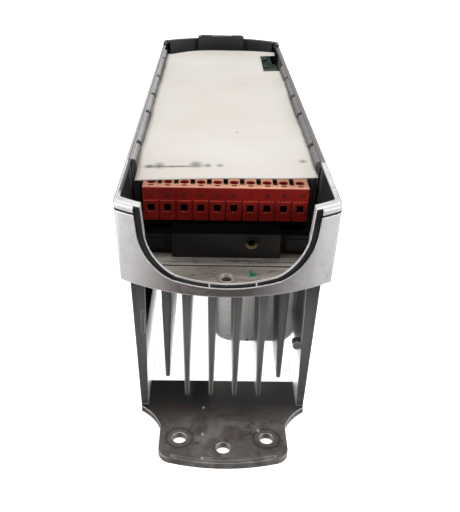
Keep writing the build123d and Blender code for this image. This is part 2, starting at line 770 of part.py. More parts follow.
board_box("film_capacitors", [(10, -78), (24, -78)], (10, 26, 10.5))
board_box("precharge_relay", [(-20, -40)], (15, 20, 10.4))
board_box("switching_transformer", [(4, 66)], (22, 20, 10.8))
board_box("shunt_resistors", [(x, 34) for x in (-18, -6, 6)], (7, 12, 2.0), 0.3)
board_box("gate_drivers", [(x, 10) for x in (-24, -8, 8, 24)], (7, 10, 2.6), 0.3)


def lying_can(x, y):
    """Electrolytic can that lies on the power board, with a crimped groove near its sealed end."""
    with BuildPart() as can:
        with BuildSketch(Plane.XZ.offset(-y + 15)):
            with Locations((x, power_board_top + 5.35)):
                Circle(5.3)
        extrude(amount=-30)
        fillet(can.edges(), 0.8)
        with BuildSketch(Plane.XZ.offset(-y + 12)):
            with Locations((x, power_board_top + 5.35)):
                Circle(6)
                Circle(4.8, mode=Mode.SUBTRACT)
        extrude(amount=-1.2, mode=Mode.SUBTRACT)
    return can.part


save(group(lying_can(x, y) for x in (-20, -7, 6, 19) for y in (98, 130)), "dc_link_capacitors")

# ---------------------------------------------------------------- control board
control_board_y = (header_rear_y + 4.0, half_length - 4.0)
sheet_far_y = (130.0, 150.0, 140.0)                  # far edge: left end, middle, right end

with BuildPart() as control_board:
    with BuildSketch(Plane.XY.offset(control_board_z)):
        with Locations((0, sum(control_board_y) / 2)):
            RectangleRounded(79.0, control_board_y[1] - control_board_y[0], 2)
        with Locations((36.0, sum(window_y) / 2)):
            Rectangle(13.0, window_y[1] - window_y[0] - 3)   # tab under the window
        with Locations(*post_xy):
            Circle(1.7, mode=Mode.SUBTRACT)
    extrude(amount=board_thickness)
save(control_board.part, "control_board")

save(group(pan_screw(x, y, control_board_top, 3.0, 5.5) for x, y in post_xy), "board_screws")

with BuildPart() as board_link:
    with BuildSketch(Plane.XY.offset(power_board_top)):
        with Locations((-33, 93)):
            Rectangle(6, 44)
    extrude(amount=control_board_z - power_board_top)
save(board_link.part, "board_link")


def surface_chips(name, places, size):
    """Flat chips on the control board, as one node."""
    pieces = []
    for x, y in places:
        with BuildPart() as chip:
            with BuildSketch(Plane.XY.offset(control_board_top)):
                with Locations((x, y)):
                    Rectangle(size[0], size[1])
            extrude(amount=size[2])
            chamfer(chip.faces().sort_by(Axis.Z)[-1].edges(), 0.25)
        pieces.append(chip.part)
    save(group(pieces), name)


surface_chips("processor", [(-4, 20)], (14, 14, 1.4))
surface_chips("memory_chips", [(-22, 24), (-22, 8)], (8, 11, 1.2))
surface_chips("option_socket", [(26.0, 106.0)], (4.6, 24, 2.6))
surface_chips("window_chips", [(34, 116), (35, 102)], (4, 5, 1.0))

# ---------------------------------------------------------------- insulation sheet
with BuildPart() as insulation_sheet:
    with BuildSketch(Plane.XY.offset(sheet_z)):
        with BuildLine():
            left, middle, right = sheet_far_y
            ThreePointArc((-sheet_half_width, left), (0, middle), (sheet_half_width, right))
            Polyline((sheet_half_width, right), (sheet_half_width, sheet_near_y),
                     (-sheet_half_width, sheet_near_y), (-sheet_half_width, left))
        make_face()
        with Locations(((window_x[0] + window_x[1] + 4) / 2, sum(window_y) / 2)):
            Rectangle(window_x[1] + 4 - window_x[0], window_y[1] - window_y[0], mode=Mode.SUBTRACT)
    extrude(amount=sheet_thickness)
save(insulation_sheet.part, "insulation_sheet")


def sheet_stud(x, y):
    """Plastic stud that carries the sheet over the control board."""
    with BuildPart() as stud:
        with BuildSketch(Plane.XY.offset(control_board_top)):
            with Locations((x, y)):
                Circle(2.6)
        extrude(amount=sheet_z - control_board_top)
    return stud.part


save(group(sheet_stud(x, y) for x, y in [(-12, -90), (12, -90), (0, -20), (0, 52), (-14, 120), (12, 132)]),
     "sheet_studs")
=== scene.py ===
import bpy
import bmesh
import json
import math
from mathutils import Matrix, Vector


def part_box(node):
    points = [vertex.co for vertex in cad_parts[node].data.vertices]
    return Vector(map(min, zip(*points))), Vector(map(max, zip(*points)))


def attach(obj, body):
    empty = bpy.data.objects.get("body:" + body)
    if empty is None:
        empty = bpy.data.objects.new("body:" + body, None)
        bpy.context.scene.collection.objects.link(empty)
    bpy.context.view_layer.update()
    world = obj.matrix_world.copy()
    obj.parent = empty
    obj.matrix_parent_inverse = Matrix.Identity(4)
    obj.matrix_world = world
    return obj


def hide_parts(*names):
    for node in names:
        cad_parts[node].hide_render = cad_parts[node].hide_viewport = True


# Servo drive with its cover off, dressed for rendering. Metres, in the CAD model's frame:
# X across, Y along (wiring bay at -Y), Z up, with the feet on z = 0.

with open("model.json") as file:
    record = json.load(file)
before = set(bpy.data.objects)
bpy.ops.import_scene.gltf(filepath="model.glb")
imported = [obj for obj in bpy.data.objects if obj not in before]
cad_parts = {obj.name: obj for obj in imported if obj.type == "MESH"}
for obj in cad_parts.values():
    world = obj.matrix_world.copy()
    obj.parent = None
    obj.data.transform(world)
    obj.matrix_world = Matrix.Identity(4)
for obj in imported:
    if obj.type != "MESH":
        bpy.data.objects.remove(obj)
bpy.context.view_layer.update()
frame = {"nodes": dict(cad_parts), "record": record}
nodes = frame["nodes"]
MM = 0.001

# ---------------------------------------------------------------- places on the drive
POLES = 10
POLE_PITCH = 7.62 * MM
HALF_LENGTH = 157.5                        # mm, from the drive's middle to the tray's corners
SLOTS_FROM_CORNER = (48.0, 74.2, 125.9, 162.7, 207.0, 260.4, 290.1)      # mm
SLOT_PLACES = [(start - HALF_LENGTH) * MM for start in SLOTS_FROM_CORNER]
SLOT_HALF = 0.0021
BOW_CENTRE = 0.09288                       # the near wall bows round (0, -BOW_CENTRE)
LIP_BACK = 0.0753                          # radii from there: inner side of the cut-out's lip,
LIP_FRONT = 0.0766                         # front of the lip, with a painted highlight,
POST_BACK = 0.0729                         # inner side of the corner posts,
GROOVE_RADIUS = 0.0784                     # and the groove under the corner lands is outside this
GROOVE_Z = 0.10545
POST_X = 0.0320                            # the corner posts are further out than this
SLOT_X = 0.0403                            # and so are the slots between the wall pads
INSIDE_X = 0.0441                          # the tray's inside is nearer the middle than this
FLOOR_Z = 0.0770                           # top of the tray's floor
PAINT_SPOT = (0.0107, -0.1588, FLOOR_Z)
RIB_PLACES = (-0.0070, 0.0120)             # pale ribs across the gasket's bottom
INSERT_DARK_Z = 0.0828                     # the earth insert is darker above this
ENTRY_Y, ENTRY_Z = -0.1190, 0.0930         # painted shade in the plug's wire entries: behind and below this
TOWER_Y, TOWER_Z = -0.1158, 0.0985         # painted shade between its screw towers: behind and below this
DUST_AND_LIGHT_Z = 0.0975                           # the plug's top, peach with dust and painted light, is above this
CHANNELS_X = 0.0352                        # the heatsink's channels are nearer the middle than this
SHORT_FIN_X, SHORT_FIN_HALF = 0.0256, 0.0034
POCKET_MIDDLE, POCKET_HALF = (0.0150, -0.0950), (0.0203, 0.0352)
POCKET_LOW_Z, POCKET_HIGH_Z = 0.0190, 0.0675
SIDE_HOLE = (0.0194, 0.1778, 0)            # side hole of a foot, in the corner at +X +Y

# insulation film
FILM_Z = 0.1035
FILM_THICKNESS = 0.0004
WINDOW_LEFT, WINDOW_NEAR, WINDOW_FAR = 0.0300, 0.0830, 0.1275
FAR_EDGE_LEFT, FAR_EDGE_MIDDLE, FAR_EDGE_RIGHT = 0.1250, 0.1485, 0.1400
# marks on it: place (x, y), half size across and along, and strength
FILM_SMUDGES = [
    ((-0.0245, -0.1063), (0.0105, 0.0008), 0.85), ((-0.0358, -0.1057), (0.0017, 0.0016), 0.80),
    ((-0.0312, -0.1050), (0.0020, 0.0028), 0.60), ((-0.0140, -0.1040), (0.0024, 0.0030), 0.62),
    ((-0.0085, -0.1050), (0.0014, 0.0017), 0.60), ((-0.0027, -0.1047), (0.0014, 0.0013), 0.60),
    ((0.0067, -0.0555), (0.0008, 0.0011), 0.45), ((0.0367, -0.0990), (0.0016, 0.0016), 0.60)]
# painted shade: soft darker patches, as of creases and waves in the film
FILM_PAINTED_SHADE = [
    ((-0.0240, 0.0470), (0.0120, 0.0060), 0.34), ((0.0150, 0.0430), (0.0160, 0.0060), 0.26),
    ((-0.0240, -0.1010), (0.0180, 0.0090), 0.16), ((0.0270, -0.0850), (0.0170, 0.0080), 0.12),
    ((0.0140, -0.0640), (0.0250, 0.0050), 0.08), ((-0.0330, 0.0000), (0.0080, 0.0500), 0.10)]


# ---------------------------------------------------------------- camera, light and floor
CAMERA_PLACE = (-0.0072, -0.4010, 0.2181)
CAMERA_DOWN, CAMERA_RIGHT, CAMERA_ROLL = 28.77, 0.74, 1.14      # degrees; roll lifts its right side
CAMERA_LENS, CAMERA_SENSOR, CAMERA_SHIFT = 47.2, 36.0, 0.0257

# name, place, target, size, power and spread in degrees
LIGHTS = [
    ("top_box", (0.0, -0.05, 0.9), (0, 0, 0.1), (0.9, 0.9), 4.8, 180),
    ("left_box", (-0.8, -0.30, 0.3), (0, -0.12, 0.08), (0.4, 0.6), 3.4, 180),
    ("right_box", (0.8, -0.30, 0.3), (0, -0.12, 0.08), (0.4, 0.6), 5.2, 180),
    ("low_left", (-0.5, -0.65, 0.04), (0, -0.12, 0.04), (0.45, 0.14), 2.6, 180),
    # shines in under the fins, on to the pocket
    ("channel_box", (0.0, -0.30, 0.022), (0.006, -0.13, 0.036), (0.10, 0.015), 0.006, 30),
    # stands in for the white paper's light between the feet, which the floor itself does not give
    ("paper_glow", (0, 0, 0), (0, 0, 0.1), (0.066, 0.272), 0.10, 180)]

# the room's light, by direction along Y: weak from behind the camera, full from the other side
ROOM_LIGHT = {"From Min": -0.85, "From Max": -0.15, "To Min": 0.10, "To Max": 0.66}
FLOOR_HALF = 6.0
FLOOR_DROP = 0.0002               # keeps the floor clear of the feet's undersides


def make_camera():
    """Camera in front of the wiring bay, looking down along the drive."""
    pitch, yaw, roll = (math.radians(angle) for angle in (CAMERA_DOWN, CAMERA_RIGHT, CAMERA_ROLL))
    forward = Vector((math.sin(yaw) * math.cos(pitch), math.cos(yaw) * math.cos(pitch), -math.sin(pitch)))
    level = Vector((math.cos(yaw), -math.sin(yaw), 0))
    upright = level.cross(forward)
    right = level * math.cos(roll) + upright * math.sin(roll)
    up = right.cross(forward)
    data = bpy.data.cameras.new("camera")
    data.sensor_fit = "AUTO"
    data.sensor_width = CAMERA_SENSOR
    data.lens = CAMERA_LENS
    data.shift_x = CAMERA_SHIFT
    data.clip_start, data.clip_end = 0.01, 20
    camera = bpy.data.objects.new("camera", data)
    bpy.context.scene.collection.objects.link(camera)
    rotation = Matrix((right, up, -forward)).transposed()
    camera.matrix_world = Matrix.Translation(CAMERA_PLACE) @ rotation.to_4x4()
    bpy.context.scene.camera = camera


def area_light(name, place, target, size, power, spread):
    """Soft box that lights the drive and isn't seen itself."""
    data = bpy.data.lights.new(name, "AREA")
    data.shape = "RECTANGLE"
    data.size, data.size_y = size
    data.energy = power
    data.spread = math.radians(spread)
    light = bpy.data.objects.new(name, data)
    bpy.context.scene.collection.objects.link(light)
    light.location = place
    light.rotation_mode = "QUATERNION"
    light.rotation_quaternion = (Vector(target) - Vector(place)).to_track_quat("-Z", "Y")
    light.visible_camera = False


def make_room():
    """White room, dim behind the camera."""
    world = bpy.data.worlds.new("studio")
    bpy.context.scene.world = world
    world.use_nodes = True
    tree = world.node_tree
    background = tree.nodes["Background"]
    background.inputs["Color"].default_value = (1, 1, 1, 1)
    direction = tree.nodes.new("ShaderNodeSeparateXYZ")
    tree.links.new(tree.nodes.new("ShaderNodeTexCoord").outputs["Generated"], direction.inputs[0])
    falloff = tree.nodes.new("ShaderNodeMapRange")
    falloff.interpolation_type = "SMOOTHSTEP"
    tree.links.new(direction.outputs["Y"], falloff.inputs["Value"])
    for key, value in ROOM_LIGHT.items():
        falloff.inputs[key].default_value = value
    tree.links.new(falloff.outputs["Result"], background.inputs["Strength"])


def make_floor():
    """Pale floor that the camera sees, but that gives no light and isn't reflected."""
    mesh = bpy.data.meshes.new("floor")
    corners = [(-FLOOR_HALF, -FLOOR_HALF, 0), (FLOOR_HALF, -FLOOR_HALF, 0),
               (FLOOR_HALF, FLOOR_HALF, 0), (-FLOOR_HALF, FLOOR_HALF, 0)]
    mesh.from_pydata(corners, [], [(0, 1, 2, 3)])
    floor = bpy.data.objects.new("floor", mesh)
    bpy.context.scene.collection.objects.link(floor)
    floor.location.z = -FLOOR_DROP
    floor.visible_diffuse = floor.visible_glossy = False
    paint = bpy.data.materials.new("floor_paper")
    paint.use_nodes = True
    bsdf = paint.node_tree.nodes["Principled BSDF"]
    bsdf.inputs["Base Color"].default_value = (0.86, 0.86, 0.86, 1)
    bsdf.inputs["Roughness"].default_value = 0.9
    bsdf.inputs["Emission Color"].default_value = (1, 1, 1, 1)
    bsdf.inputs["Emission Strength"].default_value = 0.9
    mesh.materials.append(paint)


make_camera()
make_room()
for light_settings in LIGHTS:
    area_light(*light_settings)
make_floor()
bpy.context.scene.view_settings.view_transform = "Standard"


# ---------------------------------------------------------------- material building blocks
class Paint:
    """A procedural material, with short calls for the nodes used here.

    A mask runs from 0 to 1. Colours are laid over one another in self.colour, bumps in self.normal.
    """

    def __init__(self, name, metallic=0.0, bevel=0.0003):
        self.material = bpy.data.materials.new(name)
        self.material.use_nodes = True
        self.tree = self.material.node_tree
        self.bsdf = self.tree.nodes["Principled BSDF"]
        self.bsdf.inputs["Metallic"].default_value = metallic
        self.metallic = metallic
        self.place = self.node("ShaderNodeTexCoord").outputs["Object"]
        self.colour = None
        self.normal = None
        if bevel:
            rounded = self.node("ShaderNodeBevel", {"Radius": bevel})
            rounded.samples = 4
            self.normal = rounded.outputs["Normal"]

    def feed(self, socket, value):
        """Link another node's output to a socket, or set the socket's value."""
        if isinstance(value, bpy.types.NodeSocket):
            self.tree.links.new(value, socket)
        else:
            socket.default_value = value

    def node(self, kind, inputs=None, **settings):
        made = self.tree.nodes.new(kind)
        for key, value in settings.items():
            setattr(made, key, value)
        for key, value in (inputs or {}).items():
            self.feed(made.inputs[key], value)
        return made

    def stretched(self, scale):
        return self.node("ShaderNodeMapping", {"Vector": self.place, "Scale": scale}).outputs[0]

    def noise(self, scale, detail=3.0, rough=0.55, at=None, distortion=0.0):
        made = self.node("ShaderNodeTexNoise", {"Vector": at or self.place, "Scale": scale, "Detail": detail,
                                                "Roughness": rough, "Distortion": distortion})
        return made.outputs["Fac"]

    def spots(self, scale, at=None):
        made = self.node("ShaderNodeTexVoronoi", {"Vector": at or self.place, "Scale": scale})
        return made.outputs["Distance"]

    def span(self, value, low, high, to_low=0.0, to_high=1.0):
        made = self.node("ShaderNodeMapRange", {"Value": value, "From Min": low, "From Max": high,
                                                "To Min": to_low, "To Max": to_high})
        return made.outputs["Result"]

    def above(self, value, level, soft):
        """0 up to level, then rising to 1 over soft."""
        return self.span(value, level, level + soft)

    def below(self, value, level, soft):
        """1 up to level, then falling to 0 over soft."""
        return self.span(value, level + soft, level)

    def near(self, value, centre, half, soft):
        """1 where value is within half of centre, fading to 0 over soft."""
        away = self.size(self.math("SUBTRACT", value, centre))
        return self.span(away, half + soft, half)

    def math(self, operation, a, b=0.0):
        return self.node("ShaderNodeMath", {0: a, 1: b}, operation=operation).outputs[0]

    def size(self, value):
        return self.math("ABSOLUTE", value)

    def invert(self, mask):
        return self.span(mask, 0, 1, 1, 0)

    def both(self, first, *others):
        """Product of masks: 1 only where all are 1."""
        for other in others:
            first = self.math("MULTIPLY", first, other)
        return first

    def either(self, first, *others):
        """Largest of several masks."""
        for other in others:
            first = self.math("MAXIMUM", first, other)
        return first

    def mix(self, factor, a, b):
        """Colour a where factor is 0, colour b where it is 1."""
        made = self.node("ShaderNodeMix", data_type="RGBA")
        for index, value in ((0, factor), (6, a), (7, b)):
            self.feed(made.inputs[index], (*value, 1) if isinstance(value, tuple) else value)
        return made.outputs[2]

    def cover(self, mask, colour, amount=None):
        """Lay a colour over what is there, where mask is 1."""
        share = mask if amount is None else self.both(mask, amount)
        self.colour = self.mix(share, self.colour, colour)

    def axes(self):
        return self.node("ShaderNodeSeparateXYZ", {0: self.place}).outputs

    def facing(self):
        """X, Y and Z of the surface's true normal."""
        true = self.node("ShaderNodeNewGeometry").outputs["Normal"]
        return self.node("ShaderNodeSeparateXYZ", {0: true}).outputs

    def length(self, vector):
        return self.node("ShaderNodeVectorMath", {0: vector}, operation="LENGTH").outputs["Value"]

    def distance(self, point, scale, start=None):
        """Distance from a point in the drive's frame, with each axis weighted."""
        ends = {0: start or self.place, 1: point}
        offset = self.node("ShaderNodeVectorMath", ends, operation="SUBTRACT").outputs[0]
        weighted = self.node("ShaderNodeVectorMath", {0: offset, 1: scale}, operation="MULTIPLY")
        return self.length(weighted.outputs[0])

    def edge_wear_and_highlight(self, radius, amount):
        """As much as amount on sharp edges, 0 on flat faces."""
        true = self.node("ShaderNodeNewGeometry").outputs["Normal"]
        rounded = self.node("ShaderNodeBevel", {"Radius": radius})
        rounded.samples = 6
        normals = {0: true, 1: rounded.outputs["Normal"]}
        same = self.node("ShaderNodeVectorMath", normals, operation="DOT_PRODUCT").outputs["Value"]
        return self.span(same, 0.99, 0.86, 0, amount)

    def bump(self, height, strength, depth):
        inputs = {"Height": height, "Strength": strength, "Distance": depth}
        if self.normal is not None:
            inputs["Normal"] = self.normal
        self.normal = self.node("ShaderNodeBump", inputs).outputs["Normal"]

    def no_reflection(self):
        """Without this, dark faces seen at a low angle look grey."""
        self.bsdf.inputs["Specular IOR Level"].default_value = 0.0

    def take_shine(self, mask):
        """Neither metal nor reflection where mask is 1."""
        self.feed(self.bsdf.inputs["Metallic"], self.span(mask, 0, 1, self.metallic, 0.0))
        self.feed(self.bsdf.inputs["Specular IOR Level"], self.span(mask, 0, 1, 0.5, 0.0))

    def finish(self, roughness):
        self.feed(self.bsdf.inputs["Base Color"], self.colour)
        self.feed(self.bsdf.inputs["Roughness"], roughness)
        if self.normal is not None:
            self.feed(self.bsdf.inputs["Normal"], self.normal)
        return self.material


# ---------------------------------------------------------------- cast tray
def tray_skin(p, clouds):
    """Pale blasted metal: painted shade on the middle of the near face, blotches, smears and specks."""
    normal_x, normal_y, _ = p.facing()
    p.colour = p.mix(clouds, (0.74, 0.73, 0.725), (0.93, 0.925, 0.92))
    across = p.math("MINIMUM", p.above(normal_x, -0.66, 0.40), p.below(normal_x, 0.12, 0.38))
    # painted shade on the faces that look straight ahead
    front_face_shade = p.both(across, p.below(normal_y, -0.8, 0.3), p.span(clouds, 0, 1, 1.0, 0.85))
    p.cover(front_face_shade, (0.165, 0.137, 0.132))
    blotches = p.span(p.noise(70, 5, 0.7, distortion=0.7), 0.52, 0.70, 0, 0.55)
    p.cover(blotches, (0.44, 0.40, 0.395))
    stretched = p.stretched((1.4, 1, 0.5))
    smears = p.span(p.noise(34, 4, 0.6, at=stretched, distortion=0.4), 0.50, 0.70, 0, 0.35)
    p.cover(smears, (0.50, 0.455, 0.46))
    specks = p.span(p.spots(430), 0.02, 0.17, 0.6, 0)
    p.cover(specks, (0.26, 0.24, 0.235))


def inside_of_tray(p, from_near):
    """Mask of the tray's inside, below its rim and without the corner posts."""
    x, y, z = p.axes()
    behind_face = p.either(p.below(from_near, LIP_BACK, 0.0003), p.above(y, -BOW_CENTRE, 0.001))
    posts = p.both(p.above(p.size(x), POST_X, 0.0008), p.above(from_near, POST_BACK, 0.0002),
                   p.below(y, -0.14, 0.01))
    within_walls = p.both(p.below(p.size(x), INSIDE_X, 0.0003), p.below(z, 0.1068, 0.0011))
    return p.both(within_walls, behind_face, p.invert(posts))


def tray_walls_inside(p, clouds, inside, level):
    """Painted shade on the inner walls, which lose their shine, darkest round the bay and at the far end."""
    y = p.axes()[1]
    # painted shade, deepest towards the bay and the far end
    sides = p.mix(clouds, (0.10, 0.097, 0.095), (0.20, 0.194, 0.188))
    sides = p.mix(p.below(y, -0.120, 0.020), sides, (0.022, 0.021, 0.021))
    sides = p.mix(p.above(y, 0.120, 0.008), sides, (0.012, 0.012, 0.012))
    upright = p.both(inside, p.invert(level))
    p.cover(upright, sides)
    p.take_shine(upright)


def tray_floor(p, inside, level):
    """Brown bay floor, dragged and scratched across, with painted glints along the drag and painted shade
    towards the terminal.
    """
    y, z = p.axes()[1:]
    drag = p.noise(48, 5, 0.65, at=p.stretched((0.35, 1.6, 1)), distortion=0.5)
    ground = p.mix(p.span(drag, 0.36, 0.66), (0.13, 0.098, 0.078), (0.50, 0.45, 0.40))
    flecks = p.span(p.noise(260, 4, 0.7), 0.58, 0.68, 0, 0.85)
    ground = p.mix(flecks, ground, (0.10, 0.075, 0.06))
    scratches = p.noise(150, 3, 0.6, at=p.stretched((0.25, 3.2, 1)), distortion=0.3)
    ground = p.mix(p.span(scratches, 0.60, 0.66, 0, 0.75), ground, (0.07, 0.055, 0.045))
    # painted glints: bright streaks along the drag
    glints = p.noise(130, 3, 0.6, at=p.stretched((0.3, 2.6, 1)), distortion=0.6)
    ground = p.mix(p.span(glints, 0.63, 0.68, 0, 0.7), ground, (0.80, 0.77, 0.73))
    p.cover(p.both(inside, level, p.below(z, 0.086, 0.004)), ground)
    # painted shade on the floor towards the terminal
    p.cover(p.both(inside, level, p.above(y, -0.1465, 0.0075)), (0.03, 0.028, 0.027))


def tray_slots(p):
    """Painted shade: black in the slots between the wall pads."""
    x, y, z = p.axes()
    in_slots = p.either(*[p.near(y, place, SLOT_HALF, 0.0003) for place in SLOT_PLACES])
    depth = p.both(p.above(p.size(x), SLOT_X, 0.0006), p.below(p.size(x), 0.0440, 0.0003))
    # painted shade inside the slots
    p.cover(p.both(in_slots, depth, p.below(z, 0.1070, 0.0009)), (0.008, 0.008, 0.009))


def tray_paint_spot(p, level):
    """Small ragged spot of green paint on the bay floor."""
    ragged = p.span(p.noise(700, 3), 0.35, 0.65, 0, 0.0014)
    away = p.math("ADD", p.distance(PAINT_SPOT, (0.9, 0.5, 0)), ragged)
    p.cover(p.both(p.below(away, 0.0020, 0.0004), level), (0.0, 0.20, 0.10))


def tray_edges(p, inside, from_near):
    """Grey rim; bright edges from wear and painted highlight; painted shade in the groove under the corner
    lands; and the cut-out's lip, with a painted highlight on its front and painted shade at its bottom
    middle.
    """
    x, y, z = p.axes()
    rim = p.both(p.above(z, 0.1078, 0.00005), p.above(y, -0.1105, 0.0010), p.below(p.size(x), 0.0451, 0.0002))
    p.cover(p.both(rim, p.span(x, -0.04, 0.04, 0.85, 0.9)), (0.16, 0.152, 0.148))
    groove = p.both(p.near(z, GROOVE_Z, 0.00045, 0.0001), p.above(from_near, GROOVE_RADIUS, 0.0001),
                    p.below(y, -0.15, 0.01))
    # bright edges: wear and painted highlight
    edges = p.both(p.edge_wear_and_highlight(0.0009, 0.9), p.invert(groove))
    p.cover(p.both(edges, p.span(inside, 0, 1, 1, 0.2)), (0.97, 0.96, 0.95))
    # painted shade in the groove
    p.cover(groove, (0.03, 0.028, 0.027))
    # painted highlight on the lip's front, painted shade at its bottom middle
    lip = p.both(p.near(from_near, LIP_FRONT, 0.0005, 0.0003), p.below(y, -0.153, 0.003),
                 p.above(z, 0.0776, 0.0004))
    p.cover(lip, p.mix(p.below(p.size(x), 0.018, 0.008), (0.97, 0.965, 0.96), (0.40, 0.37, 0.35)))


def tray_shadows(p):
    """Darkened pad tops on the right, inner rim beside the bay on the left, and outer rim line."""
    x, y, z = p.axes()
    pad_tops = p.both(p.above(x, 0.0400, 0.0005), p.above(z, 0.1045, 0.0010), p.above(y, -0.1100, 0.0010))
    p.cover(pad_tops, (0.19, 0.18, 0.17), 0.75)
    left_rim = p.both(p.above(x, -0.0450, 0.0003), p.below(x, -0.0410, 0.0010), p.above(z, 0.1060, 0.0010))
    beside_bay = p.both(p.above(y, -0.1490, 0.0040), p.below(y, -0.1095, 0.0015))
    p.cover(p.both(left_rim, beside_bay), (0.055, 0.054, 0.054), 0.9)
    outline = p.both(p.above(p.size(x), 0.0455, 0.0003), p.above(z, 0.1070, 0.0004))
    p.cover(outline, (0.10, 0.095, 0.09), 0.7)


def tray_metal():
    """Light sandblasted die casting: stained outside, with painted shade on the middle of its near face, on
    its inner walls and in its slots; brownish on the bay floor.
    """
    p = Paint("tray_metal", metallic=0.65, bevel=0.0008)
    clouds = p.span(p.noise(30, 5, 0.62), 0.36, 0.66)
    from_near = p.distance((0, -BOW_CENTRE, 0), (1, 1, 0))
    inside = inside_of_tray(p, from_near)
    level = p.above(p.facing()[2], 0.5, 0.4)
    tray_skin(p, clouds)
    tray_walls_inside(p, clouds, inside, level)
    tray_floor(p, inside, level)
    tray_slots(p)
    tray_paint_spot(p, level)
    tray_edges(p, inside, from_near)
    tray_shadows(p)
    p.bump(p.noise(2400, 2, 0.6), 0.4, 0.00010)
    p.bump(p.noise(150, 4, 0.5), 0.2, 0.0004)
    return p.finish(p.span(clouds, 0, 1, 0.46, 0.32))


# ---------------------------------------------------------------- heatsink
def sink_channels(p):
    """Fins and walls: painted shade under the base and on the short fins, a painted reflection of the floor
    low on the outer walls, and painted shade at the roots of the ends.
    """
    x, y, z = p.axes()
    normal_x, normal_y, _ = p.facing()
    sideways = p.above(p.size(normal_x), 0.6, 0.3)
    within = p.below(p.size(x), CHANNELS_X, 0.0004)
    # painted shade high in the channels, under the base
    channel_shade = p.both(sideways, within, p.above(z, 0.024, 0.022), p.span(x, -0.030, -0.018, 1.0, 0.75))
    p.cover(channel_shade, (0.03, 0.029, 0.029))
    p.take_shine(channel_shade)
    fin_stretch = p.either(p.below(p.size(y), 0.1290, 0.0010), p.above(p.size(y), 0.1520, 0.0025))
    # painted shade on the short fins
    short_fins = p.both(p.near(p.size(x), SHORT_FIN_X, SHORT_FIN_HALF, 0.0003), fin_stretch,
                        p.above(z, 0.014, 0.016))
    p.cover(short_fins, (0.05, 0.049, 0.048), 0.85)
    # painted reflection of the floor, low on the outer walls' inner faces
    floor_reflection = p.both(sideways, p.above(p.size(x), 0.032, 0.002), within, p.below(z, 0.016, 0.020))
    p.cover(floor_reflection, (0.96, 0.96, 0.955))
    # painted shade at the roots, on faces that look along the drive
    root_shade = p.both(p.above(z, 0.045, 0.025), p.above(p.size(normal_y), 0.3, 0.3))
    p.cover(root_shade, (0.10, 0.097, 0.095), 0.55)


def sink_pocket(p):
    """Cast pocket with blow holes, with painted light that makes it pale, palest on its left; the blow holes'
    mask is returned.
    """
    x, y, z = p.axes()
    pocket = p.both(p.near(y, POCKET_MIDDLE[1], POCKET_HALF[1], 0.0004),
                    p.near(x, POCKET_MIDDLE[0], POCKET_HALF[0], 0.0003),
                    p.above(z, POCKET_LOW_Z, 0.0006), p.below(z, POCKET_HIGH_Z, 0.0005))
    skin = p.mix(p.span(p.noise(90, 4, 0.6), 0.35, 0.65), (0.80, 0.785, 0.77), (0.98, 0.97, 0.96))
    # painted light: the pocket made pale, most on its left side
    p.cover(p.both(pocket, p.span(x, 0.014, 0.002, 0.25, 1.0)), skin)
    holes = p.both(pocket, p.below(p.spots(150), 0.10, 0.06))
    p.cover(holes, (0.07, 0.06, 0.06))
    pits = p.span(p.spots(300), 0.03, 0.15, 0.6, 0)
    p.cover(pits, (0.13, 0.12, 0.115))
    return holes


def foot_plates(p, low, foot):
    """Stained and scraped plates, shadowed next to the fins, with rust and grime."""
    x, y = p.axes()[:2]
    plate = p.mix(p.span(p.noise(60, 5, 0.6), 0.35, 0.65), (0.19, 0.177, 0.168), (0.46, 0.44, 0.42))
    # darker towards -X, lighter from the middle towards +X
    plate = p.mix(p.span(x, -0.010, -0.026, 0, 0.5), plate, (0.12, 0.11, 0.105))
    plate = p.mix(p.span(x, -0.005, 0.022, 0, 0.25), plate, (0.38, 0.365, 0.35))
    p.cover(foot, plate)
    p.cover(p.both(p.below(p.size(y), 0.1575, 0.0115), foot), (0.05, 0.047, 0.046), 0.85)
    grime = p.both(p.span(p.noise(85, 6, 0.65, distortion=0.8), 0.46, 0.64), foot)
    p.cover(grime, (0.13, 0.09, 0.07), 0.7)
    rust = p.both(p.span(p.noise(150, 4, 0.6), 0.60, 0.70), foot)
    p.cover(rust, (0.14, 0.06, 0.04), 0.65)

    # rings that screw heads left round the side holes, mirrored to all four
    corner = p.node("ShaderNodeCombineXYZ", {0: p.size(x), 1: p.size(y), 2: 0.0}).outputs[0]
    from_hole = p.distance(SIDE_HOLE, (1, 1, 1), start=corner)
    ragged = p.math("ADD", from_hole, p.span(p.noise(420, 3), 0.3, 0.7, -0.0002, 0.0002))
    p.cover(p.both(p.near(ragged, 0.0058, 0.0003, 0.0008), low), (0.06, 0.056, 0.053), 0.55)
    p.cover(p.both(p.below(ragged, 0.0052, 0.0004), low), (0.34, 0.335, 0.31), 0.4)
    chips = p.both(p.below(p.spots(105, at=p.stretched((1, 0.7, 1))), 0.055, 0.030), foot)
    p.cover(chips, (0.85, 0.84, 0.80))


